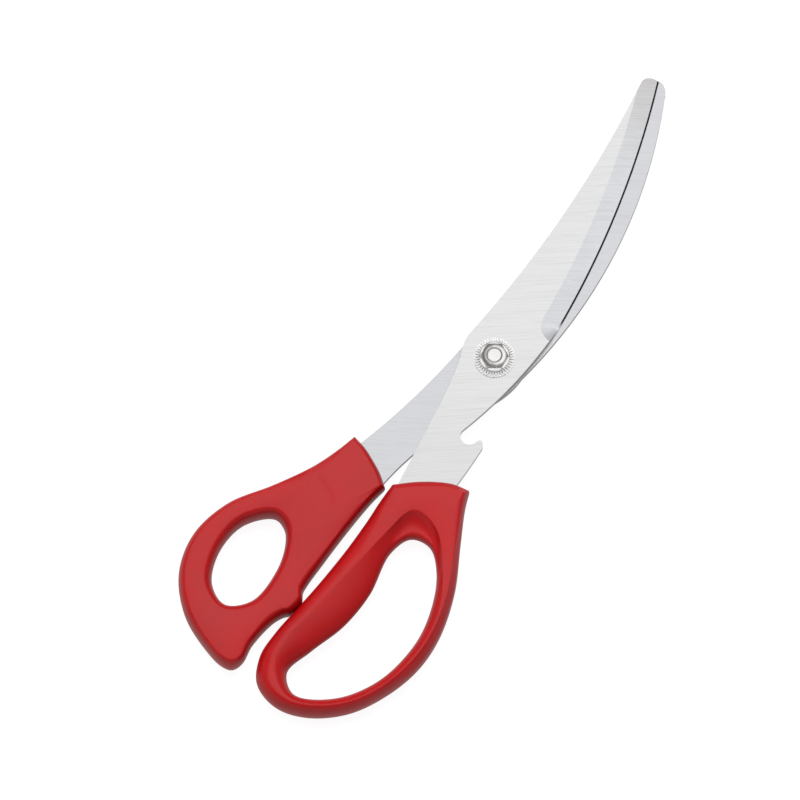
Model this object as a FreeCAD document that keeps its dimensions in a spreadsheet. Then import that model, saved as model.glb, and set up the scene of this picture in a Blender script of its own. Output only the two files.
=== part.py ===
"""Poultry shears: two curved blades on a bolted pivot, each with a moulded handle.

The shears lie flat and closed. The pivot axis is the Z axis, the tip points along +Y, and z = 0 is the
surface that both handles and the bolt head rest on. Sizes are in millimetres.
"""
import FreeCAD, Part
import math
import os
import Sketcher
from FreeCAD import Vector

# Each driving size: name, value, what it is.
SIZES = [
    ("blade_reach", 125.1, "pivot axis to the tip"),
    ("blade_thickness", 2.5, "sheet that both blades are stamped from"),
    ("blade_gap", 0.1, "play between the two blades"),
    ("hip_width", 12.8, "pivot axis to the left side of both blades"),
    ("shoulder_width", 12.0, "pivot axis to the right side of both blades"),
    ("tip_width", 5.6, "upper blade across its tip"),
    ("edge_radius", 363.7, "curve of the upper cutting edge"),
    ("edge_side", 16.7, "pivot axis to the upper edge, where it stands furthest right"),
    ("edge_middle", 38.5, "pivot axis to that place, along the blade"),
    ("tip_overlap", 2.7, "how far the edges have passed each other at the tip when closed"),
    ("heel_overlap", 6.4, "the same at the heel"),
    ("lower_edge_radius", 300.0, "curve of the lower cutting edge"),
    ("edge_thickness", 0.3, "steel left at the cutting edge"),
    ("spine_radius", 440.0, "curve of the upper blade's back"),
    ("back_radius", 196.0, "curve of the lower blade's back"),
    ("heel_height", 22.0, "pivot axis to the start of the cutting edges"),
    ("bevel_width", 7.0, "ground facet, from its edge to the flat"),
    ("notch_radius", 3.4, "opener notch"),
    ("notch_depth", 31.5, "pivot axis to the middle of the notch"),
    ("hook_width", 11.8, "pivot axis to the outside of the opener hook"),
    ("tang_width", 20.0, "upper blade's tang where it enters its handle"),
    ("tongue_width", 6.0, "narrow end of each tang"),
    ("anchor_diameter", 4.6, "hole in each tang, filled by its moulding"),
    ("journal_diameter", 7.0, "round part of the bolt that the upper blade turns on"),
    ("journal_clearance", 0.05, "radial play round the journal"),
    ("neck_clearance", 0.05, "play round the square neck"),
    ("head_diameter", 12.6, "bolt head"),
    ("head_chamfer", 0.6, "bolt head's rim"),
    ("thread_diameter", 5.5, "bolt end, in the nut"),
    ("thread_chamfer", 0.35, "bolt end's rim"),
    ("washer_diameter", 15.5, "washer's outside"),
    ("washer_thickness", 0.6, "washer's sheet"),
    ("washer_rise", 0.5, "height of the washer's dish"),
    ("washer_land", 10.8, "flat middle of the washer"),
    ("washer_teeth", 40, "serrations round the washer"),
    ("tooth_depth", 0.25, "depth of a serration"),
    ("nut_width", 9.2, "nut across its flats"),
    ("nut_height", 2.6, "nut with its flange"),
    ("nut_turn", 26.7, "degrees that the hexagon ended up turned, when tightened"),
    ("flange_diameter", 11.6, "nut's flange"),
    ("flange_thickness", 0.7, "nut's flange"),
    ("handle_thickness", 13.0, "both handles, lying flat"),
    ("collar_distance", 50.2, "pivot axis to the front of the finger handle"),
    ("finger_length", 107.6, "finger handle, front to end"),
    ("finger_width", 56.7, "finger handle, side to side"),
    ("thumb_length", 101.2, "thumb handle, front to end"),
    ("thumb_width", 53.9, "thumb handle, side to side"),
    ("collar_wall", 1.7, "plastic beside a tang at the front of a handle"),
    ("rim_round", 3.2, "rounding of the handles' outer edges"),
    ("loop_round", 3.0, "rounding of the loops' inner edges"),
    ("stop_gap", 0.15, "stop nub to the finger handle when closed"),
    ("nub_length", 8.0, "stop nub along the handle"),
    ("nub_height", 9.0, "stop nub through the thickness"),
]


# ---- document, sheet and drawing helpers --------------------------------------------------------

def make_sheet(doc):
    """The driving sizes, one row each."""
    sheet = doc.addObject("Spreadsheet::Sheet", "Dims")
    for row, (name, value, note) in enumerate(SIZES, start=1):
        sheet.set(f"A{row}", name)
        sheet.set(f"B{row}", str(value))
        sheet.set(f"C{row}", note)
        sheet.setAlias(f"B{row}", name)
    doc.recompute()
    return sheet


class Sizes:
    """Reads the sheet, and works out the few sizes that follow from it."""

    def __init__(self, sheet):
        for name, _, _ in SIZES:
            setattr(self, name, float(sheet.get(name)))
        self.mid = self.handle_thickness / 2
        self.edge_centre = at(self.edge_side - self.edge_radius, self.edge_middle)
        self.upper_heel = at(self.edge_x(self.heel_height), self.heel_height)
        self.upper_tip = at(self.edge_x(self.blade_reach - 0.2), self.blade_reach - 0.2)
        self.lower_heel = self.upper_heel - at(self.heel_overlap, 0)
        self.lower_tip = self.upper_tip - at(self.tip_overlap, 0.4)
        self.lower_edge_centre = centre_left_of(self.lower_heel, self.lower_tip, self.lower_edge_radius)

    def edge_x(self, y):
        """How far right of the pivot the upper cutting edge is, at height y."""
        return self.edge_centre.x + math.sqrt(self.edge_radius ** 2 - (y - self.edge_centre.y) ** 2)


# Heights above the resting surface, as sheet expressions.
UPPER_FLOOR = "Dims.handle_thickness / 2 + Dims.blade_gap / 2"
LOWER_FLOOR = "Dims.handle_thickness / 2 - Dims.blade_gap / 2 - Dims.blade_thickness"
LOWER_TOP = "Dims.handle_thickness / 2 - Dims.blade_gap / 2"
WASHER_FLOOR = "Dims.handle_thickness / 2 + Dims.blade_gap + Dims.blade_thickness"
WASHER_SEAT = WASHER_FLOOR + " + Dims.washer_rise"
NUT_FLOOR = WASHER_SEAT + " + Dims.washer_thickness"
NUT_TOP = NUT_FLOOR + " + Dims.nut_height"


def at(x, y):
    return Vector(x, y, 0)


def centre_left_of(start, end, radius):
    """Centre of the arc of a radius from start to end that turns to the left."""
    chord = end - start
    inwards = Vector(-chord.y, chord.x, 0).normalize()
    return (start + end) / 2 + inwards * math.sqrt(radius ** 2 - (chord.Length / 2) ** 2)


def line(start, end):
    return Part.LineSegment(start, end)


def arc(start, middle, end):
    return Part.Arc(start, middle, end)


def bow(start, end, radius):
    """An arc that turns to the left of the line from start to end, bulging to its right."""
    chord = end - start
    half = chord.Length / 2
    sagitta = abs(radius) - math.sqrt(radius ** 2 - half ** 2)
    outwards = Vector(chord.y, -chord.x, 0).normalize()
    side = math.copysign(sagitta, radius)
    return arc(start, (start + end) / 2 + outwards * side, end)


def curve(points, closed=False):
    """A smooth curve through the points."""
    spline = Part.BSplineCurve()
    spline.interpolate(points, PeriodicFlag=closed)
    return spline


def plane(body, role):
    return next(item for item in body.Origin.OriginFeatures if item.Role == role)


def sketch_on(body, name, geometry, height="0", role="XY_Plane"):
    """A sketch of the given curves, on one of the body's own planes moved up to a height."""
    sketch = body.newObject("Sketcher::SketchObject", name)
    sketch.AttachmentSupport = [(plane(body, role), "")]
    sketch.MapMode = "FlatFace"
    sketch.setExpression("AttachmentOffset.Base.z", height)
    for item in geometry:
        sketch.addGeometry(item, False)
    return sketch


def size_circle(sketch, index, diameter):
    """Ties circle number index of a sketch to a size of the sheet."""
    number = sketch.addConstraint(Sketcher.Constraint("Diameter", index, sketch.Geometry[index].Radius * 2))
    sketch.setExpression(f"Constraints[{number}]", diameter)


def circle_sketch(body, name, centre, diameter, height="0"):
    """A sketch of one circle whose diameter follows the sheet."""
    sketch = sketch_on(body, name, [Part.Circle(centre, Vector(0, 0, 1), 1.0)], height)
    size_circle(sketch, 0, diameter)
    return sketch


def pad(body, name, sketch, length):
    feature = body.newObject("PartDesign::Pad", name)
    feature.Profile = sketch
    feature.setExpression("Length", length)
    body.Document.recompute()
    return feature


def pocket(body, name, sketch, length=None):
    """Cuts upwards from the sketch, by a length or through everything both ways."""
    feature = body.newObject("PartDesign::Pocket", name)
    feature.Profile = sketch
    if length is None:
        feature.Type = "ThroughAll"
        feature.Midplane = True
    else:
        feature.setExpression("Length", length)
        feature.Reversed = True
    body.Document.recompute()
    return feature


def turned(body, kind, name, profile, centre=None, degrees=360.0, start=0.0):
    """Revolves (r, z) points about the upright axis through centre, as a Revolution or a Groove."""
    corners = [Vector(r, z, 0) for r, z in profile]
    sides = [line(a, b) for a, b in zip(corners, corners[1:] + corners[:1])]
    sketch = body.newObject("Sketcher::SketchObject", name + "Profile")
    sketch.AttachmentSupport = [(plane(body, "XZ_Plane"), "")]
    sketch.MapMode = "FlatFace"
    centre = centre or Vector()
    sketch.AttachmentOffset = FreeCAD.Placement(
        Vector(centre.x, 0, -centre.y), FreeCAD.Rotation(Vector(0, 1, 0), start))
    for side in sides:
        sketch.addGeometry(side, False)
    feature = body.newObject("PartDesign::" + kind, name)
    feature.Profile = sketch
    feature.ReferenceAxis = (sketch, ["V_Axis"])
    feature.Angle = degrees
    body.Document.recompute()
    return feature


def fillet(body, name, edges, radius):
    """Rounds the edges of the body's last feature that the test accepts."""
    base = body.Tip
    names = [f"Edge{n}" for n, edge in enumerate(base.Shape.Edges, start=1) if edges(edge)]
    feature = body.newObject("PartDesign::Fillet", name)
    feature.Base = (base, names)
    feature.setExpression("Radius", radius)
    body.Document.recompute()
    return feature


def new_body(doc, label):
    body = doc.addObject("PartDesign::Body", label)
    body.Label = label
    return body


# ---- blades -------------------------------------------------------------------------------------

def upper_outline(size):
    """Plan of the upper blade with its tang, anticlockwise from the tip."""
    heel = size.upper_heel
    tip_right = size.upper_tip
    tip_top = tip_right + at(-1.2, 0.2)
    tip_left = tip_right + at(-size.tip_width, -3.4)
    hip = at(-size.hip_width + 0.35, 5)
    left = -size.tang_width / 2
    notch = at(5.4, -size.notch_depth)
    notch_start = at(notch.x - size.notch_radius, notch.y + 0.4)
    notch_end = notch + at(0.93, -0.37) * size.notch_radius
    hook = size.hook_width
    shoulder = at(size.shoulder_width, -2)
    fork = at(notch_start.x + 0.2, notch_start.y + 0.6)
    return [
        curve([tip_right, tip_top, tip_left + at(1.3, 2.6), tip_left]),
        bow(hip, tip_left, size.spine_radius),
        curve([hip, at(-size.hip_width, 0), at(-11.5, -5.5), at(left - 0.55, -13), at(left, -24)]),
        line(at(left, -24), at(left, -62)),
        *finger_tang(size),
        curve([at(size.tang_width / 2, -49), at(hook - 0.65, -40.5), at(hook, -34.5)]),
        curve([at(hook, -34.5), at(hook - 0.5, -32.1), at(hook - 1.6, -31.1), at(hook - 2.6, -31.6),
               notch_end]),
        arc(notch_end, notch + at(0, -size.notch_radius), notch_start),
        line(notch_start, fork),
        arc(fork, shoulder, heel),
        bow(heel, tip_right, size.edge_radius),
    ]


def finger_tang(size):
    """Hidden end of the upper blade: full width, then a tongue down the inner strand."""
    left = -size.tang_width / 2
    right = size.tang_width / 2
    front = -size.collar_distance
    tongue = left + size.tongue_width
    corners = [at(left, -62), at(left - 0.8, front - 34), at(tongue - 0.8, front - 34),
               at(tongue + 1, front - 17), at(tongue + 5, front - 13.2), at(right - 2, front - 12),
               at(right, -49)]
    return [line(a, b) for a, b in zip(corners, corners[1:])]


def lower_outline(size):
    """Plan of the lower blade with its tang, anticlockwise from the tip."""
    heel = size.lower_heel
    tip_left = size.lower_tip
    tip_top = size.upper_tip + at(1.6, 0.1)
    tip_right = size.upper_tip + at(4.6, -4.4)
    hip = at(-size.hip_width, 0)
    back = at(size.shoulder_width + 0.4, -2)
    tang_left, tang_right = THUMB_TANG
    return [
        curve([tip_left, tip_top, size.upper_tip + at(3.4, -1.4), tip_right]),
        bow(back, tip_right, size.back_radius),
        curve([back, at(10.4, -9.5), at(4.4, -20), at(-2.9, -31), at(-8.6, -42), tang_right]),
        *thumb_tang(size),
        arc(tang_left, at(-19.7, -24.8), hip),
        curve([hip, at(-11.2, 7), at(-5, 13), at(3, 17), heel]),
        bow(heel, tip_left, size.lower_edge_radius),
    ]


def thumb_tang(size):
    """Hidden end of the lower blade, running on in the direction of the arm."""
    left, right = THUMB_TANG
    way = at(-0.33, -0.944)
    across = at(-0.944, 0.33)
    foot = right + way * 9
    tongue = foot + across * 3.5
    far = tongue + across * (size.tongue_width + 3)
    brow = left + way * 14
    corners = [right, foot, tongue, tongue + way * 9, far + way * 9, far, brow, left]
    return [line(a, b) for a, b in zip(corners, corners[1:])]


FINGER_ANCHOR = at(1.0, -59.0)
THUMB_ANCHOR = at(-25.5, -64.5)
THUMB_TANG = (at(-29.9, -51.3), at(-15.3, -61.5))
NUB_START = at(-21.6, -117.2)


def upper_blade(doc, size):
    """Blade on top: ground on its upper face, turning on the bolt's journal."""
    body = new_body(doc, "upper_blade")
    pad(body, "UpperSheet", sketch_on(body, "UpperPlan", upper_outline(size), UPPER_FLOOR),
        "Dims.blade_thickness")
    floor = size.mid + size.blade_gap / 2
    top = floor + size.blade_thickness
    grind(body, "Upper", size, size.upper_heel, size.edge_centre, -size.bevel_width,
          floor + size.edge_thickness, top)
    pocket(body, "PivotHole", circle_sketch(
        body, "PivotHolePlan", at(0, 0), "Dims.journal_diameter + 2 * Dims.journal_clearance", UPPER_FLOOR))
    pocket(body, "UpperAnchor", circle_sketch(
        body, "UpperAnchorPlan", FINGER_ANCHOR, "Dims.anchor_diameter", UPPER_FLOOR))
    return body


def lower_blade(doc, size):
    """Blade underneath: ground on its lower face, with a square hole that locks the bolt."""
    body = new_body(doc, "lower_blade")
    pad(body, "LowerSheet", sketch_on(body, "LowerPlan", lower_outline(size), LOWER_FLOOR),
        "Dims.blade_thickness")
    top = size.mid - size.blade_gap / 2
    floor = top - size.blade_thickness
    grind(body, "Lower", size, size.lower_heel, size.lower_edge_centre, size.bevel_width,
          top - size.edge_thickness, floor)
    half = size.journal_diameter / 2 + size.neck_clearance
    pocket(body, "SquareHole", sketch_on(body, "SquarePlan", square(half), LOWER_FLOOR))
    pocket(body, "LowerAnchor", circle_sketch(
        body, "LowerAnchorPlan", THUMB_ANCHOR, "Dims.anchor_diameter", LOWER_FLOOR))
    return body


def grind(body, name, size, heel, centre, width, edge_z, face_z):
    """Grinds the facet: a cone section along the edge, and a cone at its heel where the wheel lifts.

    The facet runs from the edge, at height edge_z, to the flat face, at height face_z. Its width counts
    away from the edge's centre of curvature, and is negative on a convex edge.
    """
    radius = (heel - centre).Length
    beyond = math.copysign(3.0, width)
    past = (edge_z - face_z) * 3.0 / abs(width)
    section = [(radius - beyond, face_z), (radius + width, face_z), (radius, edge_z),
               (radius - beyond, edge_z + past)]
    heel_rise = math.asin((heel.y - centre.y) / radius)
    sweep = math.asin((size.blade_reach + 8 - centre.y) / radius) - heel_rise
    turned(body, "Groove", name + "Facet", section, centre, math.degrees(sweep), math.degrees(heel_rise))
    turned(body, "Groove", name + "Runout", [(0, edge_z), (0, face_z), (abs(width), face_z)], heel)


def square(half):
    corners = [at(-half, -half), at(half, -half), at(half, half), at(-half, half)]
    return [line(a, b) for a, b in zip(corners, corners[1:] + corners[:1])]


# ---- handles ------------------------------------------------------------------------------------
# Each handle is drawn to shape only: its curves are then stretched to the named width and length.

DRAWN_TANG = 20.0    # width of the upper tang that the finger handle's sides are drawn round
COLLAR_BLEND = 40.0  # length over which those sides follow another width
FINGER_SIDES = [(-13.2, -69.4), (-14.1, -78.4), (-16.1, -92.3), (-19.2, -108), (-22.3, -120.8),
                (-25.2, -132.7), (-26.2, -143), (-22.4, -153), (-12.5, -157.8), (0, -156), (13.3, -147.7),
                (22.8, -135.2), (28.9, -120.8), (30.5, -106.4), (27.8, -88.4), (21.4, -70.8), (16.6, -57.4)]
FINGER_LOOP = [(-0.7, -85.2), (-0.3, -103), (-3.4, -118.3), (-10, -132.6), (-14.3, -144), (-7.9, -150.7),
               (6.5, -145), (18, -131.2), (23.4, -112.9), (22.7, -98.2), (18.3, -84.7), (11.4, -76.5),
               (3.6, -76.8)]
FINGER_MOUTH = [(-5.8, -83.4), (-3.8, -103), (-6.8, -117.2), (-12.8, -131.8), (-16.6, -144.4), (-8.2, -152.6),
                (7.2, -146.8), (19.6, -132.2), (25.2, -113.1), (24.5, -98), (19.5, -83.1), (7.4, -67.4),
                (-1.2, -70.2)]
THUMB_SIDES = [(-15.9, -70.2), (-19, -85.2), (-21.3, -99.3), (-22.8, -113.1), (-27.5, -128.6), (-30.7, -140),
               (-30.9, -147.8), (-37.6, -152.4), (-45.8, -149.4), (-58.3, -141.4), (-67.8, -127.8),
               (-69.8, -112), (-63.8, -95.6), (-51.5, -81.3), (-41.6, -68.3), (-36.2, -58.4)]
THUMB_LOOP = [(-45.6, -92.4), (-40.2, -94.8), (-37, -100.8), (-35.6, -111.3), (-38.5, -125.2), (-46.8, -131),
              (-54.9, -125.7), (-58.1, -113.2), (-54.8, -100)]


def stretch(points, sides, width, length, top):
    """Moves drawn points so that the outline they belong to has the given width and length."""
    xs = [x for x, _ in sides]
    ys = [y for _, y in sides]
    middle = (min(xs) + max(xs)) / 2
    across = width / (max(xs) - min(xs))
    along = length / (top - min(ys))
    return [at(middle + (x - middle) * across, top + (y - top) * along) for x, y in points]


def beside_tang(point, size, top):
    """Moves a point of the finger handle's side with the tang's side, less and less behind the front."""
    share = max(0.0, 1 - (top - point.y) / COLLAR_BLEND)
    outwards = math.copysign(1, point.x)
    return point + at(outwards * (size.tang_width - DRAWN_TANG) / 2 * share, 0)


def finger_handle(doc, size):
    """Long finger loop round the upper blade's tang, with a scoop for the index finger."""
    body = new_body(doc, "finger_handle")
    top = -size.collar_distance
    drawn = (FINGER_SIDES, size.finger_width, size.finger_length, top)
    inner = at(-size.tang_width / 2 - size.collar_wall, top - 11)
    outer = at(size.tang_width / 2 + 3 * size.collar_wall, top - 0.4)
    sides = [beside_tang(point, size, top) for point in stretch(FINGER_SIDES, *drawn)]
    outline = [curve([inner, *sides, outer]),
               arc(outer, (inner + outer) / 2 + at(-1.2, 2.2), inner)]
    handle_block(body, "Finger", outline)
    throat = curve(stretch(FINGER_LOOP, *drawn), closed=True)
    mouth = curve(stretch(FINGER_MOUTH, *drawn), closed=True)
    flare(body, "LoopTop", throat, mouth, "Dims.handle_thickness")
    flare(body, "LoopUnder", throat, mouth, "0")
    pocket(body, "FingerSlot", sketch_on(body, "FingerSlotPlan", tang_cut(
        finger_tang(size), FINGER_ANCHOR, size), UPPER_FLOOR), "Dims.blade_thickness")
    return body


def thumb_handle(doc, size):
    """Oval thumb loop round the lower blade's tang, with a tail and the stop nub."""
    body = new_body(doc, "thumb_handle")
    top = -size.collar_distance - 1
    drawn = (THUMB_SIDES, size.thumb_width, size.thumb_length, top)
    inner = at(-13.8, -63.5)
    outer = at(-32.9, -50.8)
    outline = [curve([inner, *stretch(THUMB_SIDES, *drawn), outer]),
               arc(outer, at(-22.6, -56), inner)]
    handle_block(body, "Thumb", outline)
    loop = curve(stretch(THUMB_LOOP, *drawn), closed=True)
    pocket(body, "ThumbLoop", sketch_on(body, "ThumbLoopPlan", [loop]))
    fillet(body, "ThumbLoopRim", lambda edge: abs(edge.Length - loop.length()) < 1.0, "Dims.loop_round")
    pad(body, "StopNub", sketch_on(body, "NubPlan", nub_outline(size),
        "(Dims.handle_thickness - Dims.nub_height) / 2"), "Dims.nub_height")
    pocket(body, "ThumbSlot", sketch_on(body, "ThumbSlotPlan", tang_cut(
        thumb_tang(size), THUMB_ANCHOR, size), LOWER_FLOOR), "Dims.blade_thickness")
    return body


def nub_outline(size):
    """Small block on the thumb handle whose face meets the finger handle's inner side."""
    way = at(-0.23, -0.973)
    inwards = at(-0.973, 0.23)
    start = NUB_START + inwards * size.stop_gap
    end = start + way * size.nub_length
    corner = 1.0
    return [
        line(start + way * corner, end - way * corner),
        arc(end - way * corner, end + inwards * corner * 0.3 - way * corner * 0.3, end + inwards * corner),
        line(end + inwards * corner, end + inwards * 4),
        line(end + inwards * 4, start + inwards * 4),
        line(start + inwards * 4, start + inwards * corner),
        arc(start + inwards * corner, start + inwards * corner * 0.3 + way * corner * 0.3,
            start + way * corner),
    ]


def tang_cut(tang, anchor, size):
    """Plan of the slot that a tang fills: its hidden end, closed ahead of the handle, and its peg."""
    start, end = tang[0].StartPoint, tang[-1].EndPoint
    ahead = at(0, 14)
    return [*tang, line(end, end + ahead), line(end + ahead, start + ahead), line(start + ahead, start),
            Part.Circle(anchor, Vector(0, 0, 1), size.anchor_diameter / 2)]


def handle_block(body, name, outline):
    """The moulding before its details: its plan, with the long side's edges rounded."""
    pad(body, name + "Block", sketch_on(body, name + "Plan", outline), "Dims.handle_thickness")
    side_length = outline[0].length()
    fillet(body, name + "Rim", lambda edge: abs(edge.Length - side_length) < 1.0, "Dims.rim_round")


def flare(body, name, throat, mouth, face):
    """Cuts half of a loop: from its narrowest outline at mid-thickness to its mouth at one face."""
    feature = body.newObject("PartDesign::SubtractiveLoft", name)
    feature.Profile = sketch_on(body, name + "Throat", [throat], "Dims.handle_thickness / 2")
    feature.Sections = [sketch_on(body, name + "Mouth", [mouth], face)]
    feature.Ruled = True
    body.Document.recompute()
    return feature


# ---- pivot fastener -----------------------------------------------------------------------------

def pivot_bolt(doc, size):
    """Bolt from below: head, square neck, round journal with a shoulder, and threaded end."""
    body = new_body(doc, "pivot_bolt")
    head = circle_sketch(body, "HeadPlan", at(0, 0), "Dims.head_diameter")
    pad(body, "Head", head, LOWER_FLOOR)
    half = size.journal_diameter / 2
    pad(body, "Neck", sketch_on(body, "NeckPlan", square(half), LOWER_FLOOR), "Dims.blade_thickness")
    journal = circle_sketch(body, "JournalPlan", at(0, 0), "Dims.journal_diameter", LOWER_TOP)
    pad(body, "Journal", journal, f"{WASHER_SEAT} - ({LOWER_TOP})")
    thread = circle_sketch(body, "ThreadPlan", at(0, 0), "Dims.thread_diameter", WASHER_SEAT)
    pad(body, "Thread", thread, f"{NUT_TOP} - ({WASHER_SEAT})")
    chamfer(body, "HeadRim", 0.0, size.head_diameter / 2, "Dims.head_chamfer")
    end = body.Tip.Shape.BoundBox.ZMax
    chamfer(body, "ThreadRim", end, size.thread_diameter / 2, "Dims.thread_chamfer")
    return body


def chamfer(body, name, height, radius, amount):
    """Breaks the round edge at a height."""
    base = body.Tip
    names = [f"Edge{n}" for n, edge in enumerate(base.Shape.Edges, start=1)
             if abs(edge.BoundBox.ZMin - height) < 1e-4 and abs(edge.BoundBox.ZMax - height) < 1e-4
             and abs(edge.BoundBox.XMax - radius) < 1e-3]
    feature = body.newObject("PartDesign::Chamfer", name)
    feature.Base = (base, names)
    feature.setExpression("Size", amount)
    body.Document.recompute()
    return feature


def pivot_nut(doc, size):
    """Hexagon nut with a round flange, its top corners turned off."""
    body = new_body(doc, "pivot_nut")
    pad(body, "Flange", circle_sketch(body, "FlangePlan", at(0, 0), "Dims.flange_diameter", NUT_FLOOR),
        "Dims.flange_thickness")
    corner = size.nut_width / math.sqrt(3)
    turns = [math.radians(60 * k + size.nut_turn) for k in range(6)]
    ring = [at(corner * math.cos(turn), corner * math.sin(turn)) for turn in turns]
    sides = [line(a, b) for a, b in zip(ring, ring[1:] + ring[:1])]
    pad(body, "Hexagon", sketch_on(body, "HexagonPlan", sides, NUT_FLOOR), "Dims.nut_height")
    top = body.Tip.Shape.BoundBox.ZMax
    flat = size.nut_width / 2 - 0.35
    drop = (corner + 1 - flat) * math.tan(math.radians(30))
    turned(body, "Groove", "TopTurning", [(flat, top), (corner + 1, top), (corner + 1, top - drop)])
    pocket(body, "Bore", circle_sketch(body, "BorePlan", at(0, 0), "Dims.thread_diameter", NUT_FLOOR))
    return body


def serrated_washer(doc, size):
    """Dished washer: flat under the nut, falling to its rim, with serrations round the fall."""
    body = new_body(doc, "serrated_washer")
    floor = size.mid + size.blade_gap + size.blade_thickness
    seat = floor + size.washer_rise
    bore = size.thread_diameter / 2 + size.journal_clearance
    land = size.washer_land / 2
    rim = size.washer_diameter / 2
    turned(body, "Revolution", "Dish", [
        (bore, seat), (land, seat), (rim, floor), (rim, floor + 0.6 * size.washer_thickness),
        (land, seat + size.washer_thickness), (bore, seat + size.washer_thickness)])
    pitch = math.pi * rim / size.washer_teeth
    tooth = [at(land + 0.35, -0.15 * pitch), at(rim + 0.5, -0.5 * pitch), at(rim + 0.5, 0.5 * pitch),
             at(land + 0.35, 0.15 * pitch)]
    sides = [line(a, b) for a, b in zip(tooth, tooth[1:] + tooth[:1])]
    sketch = sketch_on(body, "ToothPlan", sides, f"{WASHER_FLOOR} + 0.6 * Dims.washer_thickness"
                       " - Dims.tooth_depth / 2")
    cut = pocket(body, "Tooth", sketch, "Dims.washer_rise + Dims.washer_thickness")
    pattern = body.newObject("PartDesign::PolarPattern", "Teeth")
    pattern.Originals = [cut]
    pattern.Axis = (plane(body, "Z_Axis"), [""])
    pattern.Angle = 360
    pattern.Occurrences = int(size.washer_teeth)
    body.Tip = pattern
    doc.recompute()
    return body


# ---- build --------------------------------------------------------------------------------------

def check(doc, bodies):
    """Stops unless every feature recomputed and every body is one sound solid."""
    for item in doc.Objects:
        if {"Invalid", "Error"} & set(item.State):
            raise RuntimeError(f"{item.Label}: {item.State}")
    for body in bodies:
        shape = body.Shape
        if shape.isNull() or not shape.isValid() or len(shape.Solids) != 1:
            raise RuntimeError(f"{body.Label}: not one sound solid ({len(shape.Solids)})")
        print(f"{body.Label}: {shape.Volume / 1000:.3f} cm3, faces {len(shape.Faces)}")


def main():
    doc = FreeCAD.newDocument("PoultryShears")
    size = Sizes(make_sheet(doc))
    makers = [lower_blade, thumb_handle, pivot_bolt, upper_blade, finger_handle, serrated_washer, pivot_nut]
    bodies = [make(doc, size) for make in makers]
    doc.recompute()
    check(doc, bodies)
    os.makedirs("parts", exist_ok=True)
    for body in bodies:
        body.Shape.exportStep(os.path.join("parts", body.Label + ".step"))


main()
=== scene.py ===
# %% [markdown]
# # Poultry shears
#
# A pair of poultry shears lies closed on a table. Two curved steel blades turn on a bolt, and each
# blade's tang is moulded into a red plastic handle. The frame holds the places, the sizes and the joint,
# so it is loaded first and left as it is. What follows is about looks: the handles and the nut are
# modelled again as finer meshes, and every piece gets a finish.

# %% Load the frame
import math

import bmesh
import bpy
import numpy as np
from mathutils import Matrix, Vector


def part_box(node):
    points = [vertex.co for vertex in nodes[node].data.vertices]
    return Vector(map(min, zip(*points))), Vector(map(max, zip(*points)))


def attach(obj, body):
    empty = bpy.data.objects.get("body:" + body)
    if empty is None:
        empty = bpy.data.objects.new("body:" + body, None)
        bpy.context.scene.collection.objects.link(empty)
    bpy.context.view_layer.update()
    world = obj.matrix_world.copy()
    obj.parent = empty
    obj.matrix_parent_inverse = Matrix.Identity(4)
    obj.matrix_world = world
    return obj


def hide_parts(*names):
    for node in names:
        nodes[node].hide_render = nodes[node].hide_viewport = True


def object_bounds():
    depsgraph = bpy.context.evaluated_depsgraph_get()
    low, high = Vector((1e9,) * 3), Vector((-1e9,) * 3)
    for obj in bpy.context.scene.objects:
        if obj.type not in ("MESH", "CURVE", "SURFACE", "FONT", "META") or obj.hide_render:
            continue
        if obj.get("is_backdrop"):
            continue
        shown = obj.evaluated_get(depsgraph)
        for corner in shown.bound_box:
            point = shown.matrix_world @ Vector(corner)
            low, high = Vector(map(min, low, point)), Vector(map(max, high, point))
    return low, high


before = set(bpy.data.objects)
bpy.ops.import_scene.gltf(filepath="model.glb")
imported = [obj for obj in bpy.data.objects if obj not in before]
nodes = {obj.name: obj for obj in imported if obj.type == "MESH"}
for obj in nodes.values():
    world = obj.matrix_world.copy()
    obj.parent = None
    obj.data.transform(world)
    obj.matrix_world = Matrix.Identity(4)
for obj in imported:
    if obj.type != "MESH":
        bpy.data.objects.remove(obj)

cad_bounds = [list(corner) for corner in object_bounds()]
MM = 0.001
bpy.ops.object.select_all(action="DESELECT")
print("frame:", ", ".join(sorted(nodes)))

# %% [markdown]
# ## Heights from the frame
#
# Both handles are as thick as the frame's, and their parting line lies in the plane where the blades
# meet. The nut's height and place come from the frame too, so nothing here needs fitting afterwards.

# %% Heights in millimetres
handle_low, handle_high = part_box("finger_handle")
HALF = (handle_high.z - handle_low.z) / 2 / MM
MIDDLE = (handle_high.z + handle_low.z) / 2 / MM
nut_low, nut_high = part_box("pivot_nut")
print(f"handles {2 * HALF:.1f} mm thick, nut from {nut_low.z / MM:.1f} to {nut_high.z / MM:.1f} mm")

# %% [markdown]
# ## Curves through a few points
#
# A moulded handle has no straight lines. A designer draws it with a few points and a smooth curve
# through them. Blender has Bezier and NURBS curves for this, but their handles would have to be set one
# by one. The centripetal Catmull-Rom curve needs none: it passes through every point, and it doesn't
# overshoot where the points are unevenly spaced.

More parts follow.
